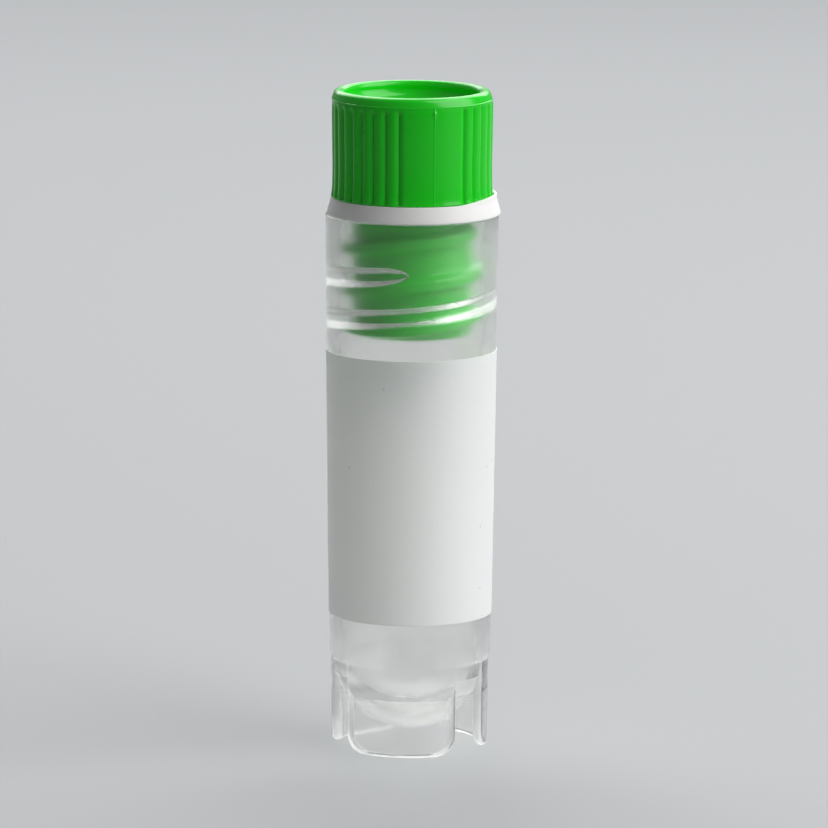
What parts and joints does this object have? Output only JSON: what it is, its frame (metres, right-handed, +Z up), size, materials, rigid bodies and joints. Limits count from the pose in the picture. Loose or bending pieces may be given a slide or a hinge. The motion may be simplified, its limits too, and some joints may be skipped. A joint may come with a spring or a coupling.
{
  "type": "cryogenic vial",
  "caption": "Self-standing cryogenic vial with a round bottom, inner thread, legs, a white marking patch and a ribbed green screw cap sealed by a silicone ring.",
  "frame": {"origin": "centre of the circle that the legs stand on", "axes": "+Z up along the vial's axis, -Y towards the middle of the first leg"},
  "size_m": [0.0126, 0.0125, 0.0479],
  "materials": {
    "vial_plastic": "natural polypropylene, moulded, translucent and slightly cloudy",
    "patch_ink": "white screen-printed ink, semi-matt",
    "ring_silicone": "white silicone, smooth",
    "cap_plastic": "green polypropylene, moulded, glossy"
  },
  "bodies": {
    "vial_body": {"vial": "vial_plastic", "marking_patch": "patch_ink"},
    "ring_body": {"seal_ring": "ring_silicone"},
    "cap_body": {"cap": "cap_plastic"}
  },
  "joints": [
    {"name": "cap_rise", "type": "slide", "parent": "vial_body", "child": "ring_body", "axis": [0, 0, 1], "range_m": [0, 0.00915]},
    {"name": "cap_turn", "type": "hinge", "parent": "ring_body", "child": "cap_body", "pos_m": [0, 0, 0.0402], "axis": [0, 0, 1], "range_deg": [0, 1080.5]}
  ],
  "couplings": [
    {"joint": "cap_turn", "follows": "cap_rise", "rad_per_m": 2060.1}
  ]
}
